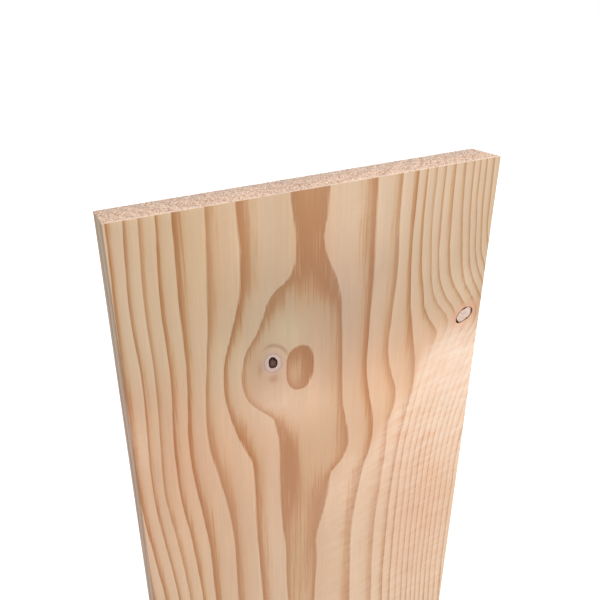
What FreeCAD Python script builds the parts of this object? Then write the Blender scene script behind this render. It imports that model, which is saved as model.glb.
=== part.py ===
"""A planed softwood board with two encased knots, each a plug of dead branch in its own sleeve of bark.

The board stands on its lower end: +Z runs up its length, its planed front faces -Y, and the origin is at
the middle of the lower end. Both branches grew from one whorl on the pith, which lay behind the back face,
so each knot crosses the board on a slant and rises towards the front.
"""
import FreeCAD
import Part
import Sketcher
import os
from dataclasses import dataclass

# Driving dimensions: alias, value in millimetres or degrees, meaning.
SIZES = [
    ("width", 184.0, "finished width of a nominal 8 inch board"),
    ("thickness", 19.0, "finished thickness of a nominal 1 inch board"),
    ("length", 914.0, "a 3 foot stock length"),
    ("face_overrun", 2.0, "how far each branch cone runs past the faces that trim it"),
    ("branch_taper", 1.0, "half angle of a branch, which is thinner towards the pith"),
    ("edge_knot_drop", 78.5, "top end down to the knot's centre on the front face"),
    ("edge_knot_inset", 9.3, "right side to the knot's centre on the front face"),
    ("edge_knot_radius", 2.9, "branch wood, measured square to the branch, at the front face"),
    ("edge_bark_wall", 0.7, "bark round the edge knot"),
    ("edge_branch_turn", 38.0, "plan angle from straight out of the front towards the right"),
    ("edge_branch_rise", 27.0, "angle at which the branch climbs"),
    ("centre_knot_drop", 80.3, "top end down to the knot's centre on the front face"),
    ("centre_knot_shift", 21.6, "middle of the width leftwards to the knot's centre"),
    ("centre_knot_radius", 1.8, "branch wood, measured square to the branch, at the front face"),
    ("centre_bark_wall", 0.6, "bark round the centre knot"),
    ("centre_branch_turn", -12.0, "plan angle from straight out of the front towards the right"),
    ("centre_branch_rise", 33.0, "angle at which the branch climbs"),
]


@dataclass(frozen=True)
class Branch:
    """One branch: its knot's node name and the expressions that size and place it."""

    knot: str
    across: str
    drop: str
    radius: str
    bark_wall: str
    turn: str
    rise: str

    @property
    def slant_cosine(self):
        """Cosine of the angle between the branch and the face's normal."""
        return f"(cos({self.turn}) * cos({self.rise}))"

    @property
    def reach(self):
        """Run along the branch that clears a face, for the widest cone at this slant."""
        slant_tangent = f"(sqrt(1 - {self.slant_cosine}^2) / {self.slant_cosine})"
        return f"(({self.radius} + {self.bark_wall}) * {slant_tangent} + Sizes.face_overrun)"

    @property
    def inward(self):
        """Run along the branch from the front face to the cone's inner end."""
        return f"(Sizes.thickness / {self.slant_cosine} + {self.reach})"

    @property
    def placement(self):
        """Placement of the cone's inner end, with its axis along the branch."""
        east = f"sin({self.turn}) * cos({self.rise})"
        south = f"-{self.slant_cosine}"
        x = f"{self.across} - {self.inward} * {east}"
        y = f"-Sizes.thickness / 2 - {self.inward} * {south}"
        z = f"Sizes.length - {self.drop} - {self.inward} * sin({self.rise})"
        return f"placement(vector({x}; {y}; {z}); rotation({self.turn}; 0; 90 - {self.rise}))"


BRANCHES = [
    Branch("edge_knot", "Sizes.width / 2 - Sizes.edge_knot_inset", "Sizes.edge_knot_drop",
           "Sizes.edge_knot_radius", "Sizes.edge_bark_wall",
           "Sizes.edge_branch_turn", "Sizes.edge_branch_rise"),
    Branch("centre_knot", "-Sizes.centre_knot_shift", "Sizes.centre_knot_drop",
           "Sizes.centre_knot_radius", "Sizes.centre_bark_wall",
           "Sizes.centre_branch_turn", "Sizes.centre_branch_rise"),
]


def make_sheet(doc):
    """Put the driving dimensions in a spreadsheet, one aliased cell each."""
    sheet = doc.addObject("Spreadsheet::Sheet", "Sizes")
    for row, (alias, value, meaning) in enumerate(SIZES, start=1):
        sheet.set(f"A{row}", alias)
        sheet.set(f"B{row}", str(value))
        sheet.set(f"C{row}", meaning)
        sheet.setAlias(f"B{row}", alias)
    doc.recompute()
    return sheet


def origin_plane(body, role):
    """Return the plane with this role from the body's own origin."""
    return next(feature for feature in body.Origin.OriginFeatures if feature.Role == role)


def draw_cross_section(section, width, thickness):
    """Draw the board's rectangle about the sketch's origin and bind its two sizes."""
    lower_left = FreeCAD.Vector(-width / 2, -thickness / 2)
    upper_right = FreeCAD.Vector(width / 2, thickness / 2)
    lower_right = FreeCAD.Vector(upper_right.x, lower_left.y)
    upper_left = FreeCAD.Vector(lower_left.x, upper_right.y)
    corners = [lower_left, lower_right, upper_right, upper_left]
    for start, end in zip(corners, corners[1:] + corners[:1]):
        section.addGeometry(Part.LineSegment(start, end), False)
    for side, direction in enumerate(("Horizontal", "Vertical", "Horizontal", "Vertical")):
        section.addConstraint(Sketcher.Constraint("Coincident", side, 2, (side + 1) % len(corners), 1))
        section.addConstraint(Sketcher.Constraint(direction, side))
    section.addConstraint(Sketcher.Constraint("Symmetric", 0, 1, 1, 2, -1, 1))
    across = section.addConstraint(Sketcher.Constraint("DistanceX", 0, 1, 0, 2, width))
    through = section.addConstraint(Sketcher.Constraint("DistanceY", 1, 1, 1, 2, thickness))
    section.setExpression(f"Constraints[{across}]", "Sizes.width")
    section.setExpression(f"Constraints[{through}]", "Sizes.thickness")


def make_blank(doc, sheet):
    """Plane the bare board: its cross-section, with sharp arrises, padded to length."""
    body = doc.addObject("PartDesign::Body", "PlanedBlank")
    section = body.newObject("Sketcher::SketchObject", "CrossSection")
    section.AttachmentSupport = (origin_plane(body, "XY_Plane"), [""])
    section.MapMode = "FlatFace"
    draw_cross_section(section, sheet.width, sheet.thickness)
    pad = body.newObject("PartDesign::Pad", "SawnToLength")
    pad.Profile = section
    pad.setExpression("Length", "Sizes.length")
    body.Tip = pad
    doc.recompute()
    return body


def make_cone(doc, name, branch, radius):
    """Make the cone of a branch out to this radius, past both faces of the board."""
    cone = doc.addObject("Part::Cone", name)
    cone.setExpression("Radius1", f"{radius} - {branch.inward} * tan(Sizes.branch_taper)")
    cone.setExpression("Radius2", f"{radius} + {branch.reach} * tan(Sizes.branch_taper)")
    cone.setExpression("Height", f"{branch.inward} + {branch.reach}")
    cone.setExpression("Placement", branch.placement)
    return cone


def make_boolean(doc, kind, name, base, tool):
    """Cut or intersect two objects and return the result."""
    result = doc.addObject(f"Part::{kind}", name)
    result.Base = base
    result.Tool = tool
    return result


def make_knot(doc, blank, branch):
    """Make one knot's plug and its sleeve of bark, both flush with the board's faces.

    Returns the cone that the two take out of the board, and the two pieces.
    """
    bark_radius = f"({branch.radius} + {branch.bark_wall})"
    wood_cone = make_cone(doc, f"{branch.knot}_wood_cone", branch, branch.radius)
    bark_cone = make_cone(doc, f"{branch.knot}_bark_cone", branch, bark_radius)
    plug = make_boolean(doc, "Common", branch.knot, blank, wood_cone)
    flush_cone = make_boolean(doc, "Common", f"{branch.knot}_flush_cone", blank, bark_cone)
    sleeve = make_boolean(doc, "Cut", f"{branch.knot}_bark", flush_cone, wood_cone)
    return bark_cone, [plug, sleeve]


def make_board(doc, blank, cones):
    """Cut the knots' cones out of the blank."""
    bores = doc.addObject("Part::MultiFuse", "knot_bores")
    bores.Shapes = cones
    return make_boolean(doc, "Cut", "board", blank, bores)


def check(doc, pieces):
    """Stop if anything in the document failed or a piece isn't one valid solid with its own volume."""
    for item in doc.Objects:
        if "Invalid" in item.State or "Error" in item.State:
            raise RuntimeError(f"{item.Label} failed: {item.State}")
    for piece in pieces:
        shape = piece.Shape
        if shape.isNull() or not shape.isValid() or len(shape.Solids) != 1:
            raise RuntimeError(f"{piece.Label} isn't one valid solid")


def main():
    """Build the board and its knots, check them and write one STEP file per piece."""
    doc = FreeCAD.newDocument("KnottyBoard")
    sheet = make_sheet(doc)
    blank = make_blank(doc, sheet)
    cones, knot_pieces = [], []
    for branch in BRANCHES:
        cone, pieces = make_knot(doc, blank, branch)
        cones.append(cone)
        knot_pieces += pieces
    pieces = [make_board(doc, blank, cones)] + knot_pieces
    for piece in pieces:
        piece.Label = piece.Name
    doc.recompute()
    check(doc, pieces)

    whole = sum(piece.Shape.Volume for piece in pieces)
    print(f"pieces {whole:.1f} mm3, blank {blank.Shape.Volume:.1f} mm3")
    os.makedirs("parts", exist_ok=True)
    for piece in pieces:
        box = piece.Shape.BoundBox
        print(f"{piece.Label}: {piece.Shape.Volume:.1f} mm3, x {box.XMin:.2f} to {box.XMax:.2f}, "
              f"y {box.YMin:.2f} to {box.YMax:.2f}, z {box.ZMin:.2f} to {box.ZMax:.2f}")
        piece.Shape.exportStep(f"parts/{piece.Label}.step")


main()
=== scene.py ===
"""Dress a planed softwood board, and the two dead knots it holds, over their CAD frame.

The wood's figure is worked out once, as a field of growth rings through the whole board, and read at every
vertex. The front, back, sides and sawn ends therefore show one and the same tree. Lengths are in millimetres
until a mesh is made, and a place on the board is given by its carpenter's measures: across from the left
side, depth behind the planed front, and drop below the top end.
"""

from __future__ import annotations

import logging
import math
from collections.abc import Callable, Iterable, Mapping, Sequence
from dataclasses import dataclass, field
from enum import Enum
from functools import partial

import bpy
import numpy as np
from mathutils import Matrix, Vector

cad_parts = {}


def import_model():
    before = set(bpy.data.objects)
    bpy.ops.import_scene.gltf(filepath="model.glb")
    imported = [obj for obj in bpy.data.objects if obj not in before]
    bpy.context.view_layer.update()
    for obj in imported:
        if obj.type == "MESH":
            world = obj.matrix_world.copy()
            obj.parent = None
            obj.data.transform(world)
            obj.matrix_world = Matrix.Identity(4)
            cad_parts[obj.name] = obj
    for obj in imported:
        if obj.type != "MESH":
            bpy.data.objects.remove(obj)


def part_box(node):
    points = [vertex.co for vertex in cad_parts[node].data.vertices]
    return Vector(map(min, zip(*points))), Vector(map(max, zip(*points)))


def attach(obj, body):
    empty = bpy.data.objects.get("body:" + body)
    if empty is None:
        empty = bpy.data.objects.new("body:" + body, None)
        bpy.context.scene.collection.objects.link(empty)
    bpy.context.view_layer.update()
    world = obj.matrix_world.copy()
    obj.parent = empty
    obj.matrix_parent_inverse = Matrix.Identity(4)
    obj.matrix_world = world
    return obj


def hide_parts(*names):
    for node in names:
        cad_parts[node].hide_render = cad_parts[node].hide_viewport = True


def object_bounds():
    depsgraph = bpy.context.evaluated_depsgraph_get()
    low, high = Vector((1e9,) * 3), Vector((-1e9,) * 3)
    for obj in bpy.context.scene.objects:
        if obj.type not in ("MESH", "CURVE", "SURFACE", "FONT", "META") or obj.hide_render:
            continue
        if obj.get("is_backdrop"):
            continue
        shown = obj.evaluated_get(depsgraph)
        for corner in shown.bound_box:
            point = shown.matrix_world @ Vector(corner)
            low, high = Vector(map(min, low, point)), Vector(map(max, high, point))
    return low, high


LOG = logging.getLogger("softwood_board")
MM = 0.001
BODY = "root"
BOARD_THICKNESS = 19.0
# Adds a node to one tree: what add_node gives once that tree is set.
AddNode = Callable[..., bpy.types.Node]


# ---------------------------------------------------------------------------------------------------------
# The figure of the wood
# ---------------------------------------------------------------------------------------------------------


def smooth_path(points: Sequence[tuple[float, float]], at: np.ndarray) -> np.ndarray:
    """Read a smooth curve through a few points.

    Args:
        points: (place, value) pairs in rising order of place.
        at: Places to read, held to the first and last place.

    Returns:
        The value at each place.
    """
    place, value = np.array(points, dtype=float).T
    slope = np.gradient(value, place)
    at = np.clip(at, place[0], place[-1])
    left = np.clip(np.searchsorted(place, at, side="right") - 1, 0, len(place) - 2)
    span = place[left + 1] - place[left]
    s = (at - place[left]) / span
    rise = span * (s * (1 - s) ** 2 * slope[left] - s * s * (1 - s) * slope[left + 1])
    return value[left] + s * s * (3 - 2 * s) * (value[left + 1] - value[left]) + rise


def soft_step(low: float, high: float, at: np.ndarray) -> np.ndarray:
    """Rise smoothly from 0 at low to 1 at high.

    Args:
        low: Where the step begins.
        high: Where it ends, which may be below low.
        at: Places to read.

    Returns:
        The step's height at each place.
    """
    s = np.clip((at - low) / (high - low), 0, 1)
    return s * s * (3 - 2 * s)


class Side(Enum):
    """Which side of the pith a growth ring meets the front face on."""

    LEFT = -1
    RIGHT = 1


@dataclass(frozen=True)
class RingLine:
    """The outer edge of one growth ring where the front face cuts it.

    ring counts outwards from the innermost line that reaches the face, and points are (drop, across).
    """

    side: Side
    ring: int
    points: tuple[tuple[float, float], ...]

    def across_at(self, drop: np.ndarray) -> np.ndarray:
        """Give the line's distance from the left side at each drop."""
        return smooth_path(self.points, drop)


@dataclass(frozen=True)
class Spot:
    """A soft round or oval patch on the face, strongest at its middle."""

    across: float
    drop: float
    wide: float
    tall: float
    amount: float

    def at(self, across: np.ndarray, drop: np.ndarray) -> np.ndarray:
        """Give the patch's strength at each place."""
        return self.amount * np.exp(
            -(((across - self.across) / self.wide) ** 2) - ((drop - self.drop) / self.tall) ** 2
        )


def sum_of(spots: Iterable[Spot], across: np.ndarray, drop: np.ndarray) -> np.ndarray:
    """Add up the strength of several patches.

    Args:
        spots: The patches.
        across: Distance of each place from the left side.
        drop: Distance of each place below the top end.

    Returns:
        The total at each place.
    """
    return sum((spot.at(across, drop) for spot in spots), np.zeros_like(across))


@dataclass(frozen=True)
class RingIsland:
    """A ring line that closes on itself, where the plane shaves the swelling beside a knot.

    ring is the ring that ends at its edge. Inside, the ring number falls by twice the lip: by one lip at the
    rim, more steeply the larger rim is, and by the other on the way to the middle. It falls further in the
    hollow. Outside, it goes over into the rest within the margin, as a share of the island's size. squareness
    is 2 for an oval, and more for a squarer outline.
    """

    across: float
    drop: float
    wide: float
    tall: float
    ring: float
    squareness: float
    rim: float
    hollow: Spot
    lip: float = 0.05
    margin: float = 0.9

    def gauge(self, across: np.ndarray, drop: np.ndarray) -> np.ndarray:
        """Measure how far out each place lies.

        Args:
            across: Distance of each place from the left side.
            drop: Distance of each place below the top end.

        Returns:
            0 in the island's middle, 1 on its edge and more outside.
        """
        x = np.abs(across - self.across) / self.wide
        z = np.abs(drop - self.drop) / self.tall
        return (x**self.squareness + z**self.squareness) ** (1 / self.squareness)


LEFT_LINES = (
    RingLine(Side.LEFT, 7, (
        (0, 1), (40, 0.3), (90, 0), (150, 0.5), (175, 2.8), (205, 5.8), (250, 9),
    )),
    RingLine(Side.LEFT, 6, (
        (0, 8.2), (40, 6.4), (75, 8), (120, 6.8), (150, 7.4), (175, 10), (205, 12.8), (250, 15.5),
    )),
    RingLine(Side.LEFT, 5, (
        (0, 14), (40, 12.8), (75, 14), (110, 13), (140, 12.4), (165, 15), (200, 18.5), (250, 21),
    )),
    RingLine(Side.LEFT, 4, (
        (0, 21), (40, 19.8), (75, 20.8), (120, 19.2), (145, 20), (170, 23), (205, 25.8), (250, 27.5),
    )),
    RingLine(Side.LEFT, 3, (
        (0, 28), (40, 27.8), (80, 28.2), (110, 26.5), (130, 27), (155, 29.8), (180, 32.5), (220, 33.5),
        (250, 34.5),
    )),
    RingLine(Side.LEFT, 2, (
        (0, 41.7), (25, 40.8), (50, 40), (75, 37.8), (100, 36), (120, 36.6), (140, 40.5), (160, 44.2),
        (185, 46.4), (220, 46.8), (250, 47.5),
    )),
    RingLine(Side.LEFT, 1, (
        (0, 54.6), (25, 55.5), (45, 54.3), (60, 50.5), (72, 47), (85, 45.6), (100, 46.8), (115, 50.5),
        (125, 54), (135, 57.8), (150, 58.8), (170, 58.8), (200, 60), (250, 62),
    )),
    RingLine(Side.LEFT, 0, (
        (0, 79.5), (12, 81), (24, 82.2), (34, 81), (40, 77.5), (46, 70), (55, 66), (63, 62.5), (72, 57),
        (82, 54.4), (92, 55), (100, 58.5), (106, 64), (112, 69.5), (120, 71.7), (150, 73), (175, 73.6),
        (200, 75.8), (220, 76), (250, 77.5),
    )),
)
RIGHT_LINES = (
    RingLine(Side.RIGHT, 0, (
        (0, 98.2), (12, 97.5), (23, 95.6), (33, 98), (43, 102.5), (52, 105), (65, 105.9), (100, 107.2),
        (115, 108.2), (124, 110.2), (134, 111.8), (142, 111.6), (149, 108.5), (154, 103.8), (170, 101),
        (184, 97.8), (198, 94.6), (212, 95), (250, 93.6),
    )),
    RingLine(Side.RIGHT, 1, (
        (0, 121.8), (50, 121.8), (75, 120.8), (98, 120.8), (112, 123), (125, 125.8), (145, 125.6),
        (158, 122), (172, 119.6), (190, 117.5), (250, 117.3),
    )),
    RingLine(Side.RIGHT, 2, (
        (0, 134), (20, 133.5), (45, 134.4), (70, 133), (90, 132.4), (102, 135), (114, 138.4),
        (122, 138.4), (130, 136), (150, 135), (175, 133.3), (195, 131.6), (250, 132),
    )),
    RingLine(Side.RIGHT, 3, (
        (0, 141.5), (50, 141.7), (65, 143), (85, 146.2), (97, 148.3), (112, 148.8), (130, 146),
        (150, 142.8), (175, 140.6), (205, 139.6), (250, 139.4),
    )),
    RingLine(Side.RIGHT, 4, (
        (0, 146.3), (30, 146.3), (48, 147.5), (60, 149.6), (70, 151.4), (76, 154.2), (80, 157.2),
        (85, 160), (92, 158.4), (120, 151.5), (150, 147), (200, 145), (250, 145),
    )),
    RingLine(Side.RIGHT, 5, (
        (0, 151), (30, 151), (45, 152.4), (58, 154.2), (66, 157), (71, 160.2), (75, 163.6), (80, 165.8),
        (92, 162.6), (120, 156), (155, 150.8), (200, 149.4), (250, 149.4),
    )),
    RingLine(Side.RIGHT, 6, (
        (0, 155.6), (30, 155.8), (44, 156.5), (55, 158.2), (62, 160.8), (68, 164.2), (72, 167.2),
        (78, 169.8), (95, 166), (122, 159.4), (155, 154.2), (200, 153), (250, 153.4),
    )),
    RingLine(Side.RIGHT, 7, (
        (0, 160.6), (30, 161.3), (45, 162.5), (56, 164.8), (62, 167.6), (67, 171), (73, 175), (80, 177),
        (95, 171), (122, 163.4), (155, 158), (200, 156.8), (250, 157),
    )),
    RingLine(Side.RIGHT, 8, (
        (0, 166), (20, 166.7), (34, 168.2), (48, 170), (57, 172), (64, 175.2), (70, 179), (80, 182.4),
        (95, 175.6), (122, 167.2), (155, 161.6), (200, 160.4), (250, 160.6),
    )),
    RingLine(Side.RIGHT, 9, (
        (0, 170.4), (20, 171), (34, 172.3), (46, 173.7), (54, 175.5), (60, 178), (66, 181.4), (78, 186),
        (95, 179.6), (122, 171), (155, 165.2), (200, 163.8), (250, 163.6),
    )),
    RingLine(Side.RIGHT, 10, (
        (0, 173.9), (20, 174.3), (32, 175.6), (44, 176.8), (52, 178.9), (60, 182.8), (75, 189.6),
        (95, 183.4), (122, 174.6), (155, 168.6), (200, 167), (250, 167),
    )),
    RingLine(Side.RIGHT, 11, (
        (0, 177.2), (20, 177.8), (36, 179), (46, 180.5), (54, 184), (75, 193.4), (95, 187), (122, 178.2),
        (155, 172), (200, 170.4), (250, 170.4),
    )),
    RingLine(Side.RIGHT, 12, (
        (0, 180.9), (20, 181.5), (36, 182.4), (46, 185.4), (75, 197), (95, 190.6), (122, 181.8),
        (155, 175.4), (200, 173.8), (250, 173.8),
    )),
)


class Figure(Enum):
    """The values that the board's mesh carries at each point for its finishes to read."""

    RING = "ring"
    FIBRE = "fibre"
    # The tone also carries painted light and shade, besides the wood's own tone.
    TONE = "tone"
    GREEN = "green"
    BLUE = "blue"
    CONTRAST = "contrast"
    STEEP = "steep"
    FEATHER = "feather"
    SHEEN = "sheen"
    # The sheen is painted sheen, which stands in for glare.
    STAIN = "stain"
    ARC = "arc"
    CENTRE_CLEAR = "centre_knot_clear"
    EDGE_CLEAR = "edge_knot_clear"


class KnotFigure(Enum):
    """The values that a knot's meshes carry at each point for their finishes to read."""

    SHARE = "share"
    WALL = "wall"


@dataclass(frozen=True)
class FaceMarks:
    """Where the face's look departs from plain wood, as soft patches: its own tints and tones, and painted
    light and shade.
    """

    tone: float = 0.98
    # How much the lower part is brighter, and between which drops that sets in.
    lower_tone: float = 0.035
    lower_run: tuple[float, float] = (80, 120)
    # Where it is brighter or darker: partly the wood's own tone, partly painted shade and painted light.
    tones_and_painted_light: tuple[Spot, ...] = (
        Spot(78, 55, 36, 30, -0.17),
        Spot(106, 66, 16, 22, -0.07),
        Spot(145, 2, 62, 32, 0.12),
        Spot(62, 4, 9, 22, 0.07),
        Spot(60, 118, 40, 30, 0.04),
        Spot(134, 108, 24, 26, 0.24),
        Spot(152, 86, 9, 12, 0.06),
        Spot(50, 138, 9, 20, 0.04),
        Spot(84, 172, 22, 24, 0.03),
        Spot(118, 146, 17, 20, 0.06),
        Spot(63, 79, 6, 10, -0.07),
        Spot(80, 64, 9, 9, 0.04),
        Spot(88, 113, 14, 13, 0.06),
        Spot(175, 98, 14, 13, 0.06),
        Spot(97, 228, 10, 34, -0.05),
        Spot(50, 200, 8, 40, -0.03),
        Spot(126, 43, 9, 8, -0.06),
        Spot(182, 110, 7, 18, 0.04),
        Spot(64, 14, 8, 18, 0.02),
        Spot(22, -3, 34, 3.5, 0.16),
    )
    # Painted highlights: where the face is painted brighter and whiter in place of light.
    painted_glints: tuple[Spot, ...] = (
        Spot(112, 14, 14, 24, 0.08),
        Spot(50, 12, 9, 20, 0.05),
        Spot(172, 60, 9, 10, 0.1),
        Spot(0, 108, 10, 18, 0.12),
        Spot(74, 105, 16, 10, 0.1),
        Spot(18, 172, 24, 40, 0.06),
        Spot(92, 108, 14, 14, 0.05),
        Spot(112, 205, 9, 50, 0.05),
        Spot(66, 205, 6, 45, 0.05),
        Spot(184, 108, 12, 22, 0.06),
    )
    # Where sap has reddened it.
    blushes: tuple[Spot, ...] = (
        Spot(92, 30, 13, 40, 0.9),
        Spot(79, 65, 10, 11, -0.9),
        Spot(50, 20, 9, 34, 0.5),
        Spot(50, 202, 9, 40, 0.4),
        Spot(96, 222, 10, 40, 0.4),
        Spot(118, 55, 18, 32, 0.5),
        Spot(24, 128, 15, 22, 0.5),
        Spot(140, 145, 12, 14, 0.5),
        Spot(161, 206, 24, 50, 1.1),
        Spot(50, 76, 9, 20, -0.5),
        Spot(38, 90, 8, 12, -0.4),
    )
    # Where it is yellower, or greyer.
    sallows: tuple[Spot, ...] = (
        Spot(40, 18, 18, 34, 0.6),
        Spot(86, 14, 10, 34, 0.7),
        Spot(140, 138, 9, 12, 0.5),
        Spot(22, 165, 12, 26, 0.3),
        Spot(68, 100, 12, 16, -0.6),
        Spot(148, 10, 52, 46, -0.6),
        Spot(112, 58, 18, 32, -0.6),
        Spot(174, 103, 20, 22, -1.0),
        Spot(0, 195, 10, 40, -0.4),
        Spot(66, 200, 12, 50, -0.5),
        Spot(93, 34, 8, 26, 0.45),
        Spot(64, 14, 8, 20, -0.5),
        Spot(182, 112, 8, 18, -0.4),
        Spot(4, 50, 9, 50, -0.4),
        Spot(170, 178, 9, 24, 0.6),
    )
    # Where its rings show more, or less. The strong fading below the edge knot goes with the painted glare
    # there.
    contrasts: tuple[Spot, ...] = (
        Spot(168, 104, 24, 25, -0.85),
        Spot(85, 86, 9, 13, 0.25),
        Spot(62, 100, 14, 14, -0.2),
        Spot(150, 205, 40, 60, -0.2),
        Spot(166, 30, 26, 48, -0.25),
    )
    # Where the plane left its rings' edges ragged.
    rags: tuple[Spot, ...] = (
        Spot(75, 46, 10, 8, 0.14),
        Spot(80, 121, 8, 6, 0.1),
        Spot(104, 150, 9, 8, 0.08),
        Spot(84, 97, 8, 4, 0.09),
        Spot(78, 80, 3, 10, 0.04),
    )
    # Where it is stained.
    stains: tuple[Spot, ...] = (
        Spot(174, 86.2, 1.5, 1.3, 0.35),
        Spot(181.8, 76, 1.3, 10, 0.3),
        Spot(70.5, 89.0, 2.3, 2.1, 0.6),
        Spot(64.0, 82.3, 0.9, 3.4, 0.6),
    )
    # Where sap has reddened the face as a whole: it sets in over the first drops and wanes a little over the
    # others.
    reddened: tuple[float, float] = (55, 97)
    wanes: tuple[float, float] = (160, 210)
    waned: float = 0.4
    # Where the painted glare below the edge knot begins, as (across, drop), and how strong it is: a paler,
    # whiter patch painted into the colour in place of light.
    painted_glare_start: tuple[tuple[float, float], ...] = (
        (95, 174), (104, 160), (112, 151), (124, 149), (131, 136), (139, 123), (148, 116), (152, 100),
        (160, 90), (184, 86),
    )
    painted_glare_strength: tuple[tuple[float, float], ...] = (
        (90, 0), (104, 0.2), (124, 0.3), (142, 0.4), (168, 0.5),
    )
    # Over which drops that painted glare fades again, and how much of it each time.
    painted_glare_fades: tuple[tuple[float, float, float], ...] = ((125, 210, 0.55), (240, 420, 0.45))
    # How far its border is blurred, as painted brightness and as painted sheen, and how strong each is.
    painted_glare_blur: float = 20.0
    painted_sheen_blur: float = 8.0
    painted_glare_brightness: float = 0.7
    sheen: float = 1.4
    # Where the grey arc over the centre knot shows: above the first drops, and between the two runs across.
    arc_above: tuple[float, float] = (79, 75)
    arc_left: tuple[float, float] = (64.5, 69)
    arc_right: tuple[float, float] = (82, 77)
    # How much green and blue a full blush takes away, and a full sallow.
    blush_takes: tuple[float, float] = (0.1, 0.12)
    sallow_takes: tuple[float, float] = (0.03, 0.12)
    most_contrast: float = 1.2

    def painted_glare_amount(self, across: np.ndarray, drop: np.ndarray, edge: float) -> np.ndarray:
        """Say how strong the painted glare below the edge knot is.

        Args:
            across: Distance of each place from the left side.
            drop: Distance below the top end.
            edge: How far its border is blurred to either side.

        Returns:
            The amount at each place.
        """
        past = drop - smooth_path(self.painted_glare_start, across)
        left = 1 - sum(amount * soft_step(start, end, drop) for start, end, amount in self.painted_glare_fades)
        return smooth_path(self.painted_glare_strength, across) * soft_step(-edge, edge, past) * left

    def read(self, across: np.ndarray, drop: np.ndarray) -> dict[str, np.ndarray]:
        """Read the marks.

        Args:
            across: Distance of each place from the left side.
            drop: Distance below the top end.

        Returns:
            The named values at each place.
        """
        painted_glints, tones_and_painted_light, blush, sallow, contrast, ragged, stain = (
            sum_of(spots, across, drop) for spots in (
                self.painted_glints, self.tones_and_painted_light, self.blushes, self.sallows, self.contrasts, self.rags, self.stains)
        )
        # Painted light: the painted glare and the painted highlights brighten the tone and bring in the painted
        # sheen.
        painted_bright = self.painted_glare_amount(across, drop, self.painted_glare_blur) + painted_glints
        blush += soft_step(*self.reddened, drop) * (1 - self.waned * soft_step(*self.wanes, drop))
        lower = self.lower_tone * soft_step(*self.lower_run, drop)
        green, blue = (
            1 - taken * blush - also * sallow for taken, also in zip(self.blush_takes, self.sallow_takes)
        )
        beside_arc = soft_step(*self.arc_left, across) * soft_step(*self.arc_right, across)
        return {
            Figure.TONE.value: self.tone + lower + tones_and_painted_light + self.painted_glare_brightness * painted_bright,
            Figure.SHEEN.value: self.sheen * (self.painted_glare_amount(across, drop, self.painted_sheen_blur) + painted_glints),
            Figure.GREEN.value: green,
            Figure.BLUE.value: blue,
            Figure.CONTRAST.value: np.clip(1 + contrast, 0, self.most_contrast),
            Figure.STEEP.value: ragged,
            Figure.STAIN.value: stain,
            Figure.ARC.value: soft_step(*self.arc_above, drop) * beside_arc,
        }


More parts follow.
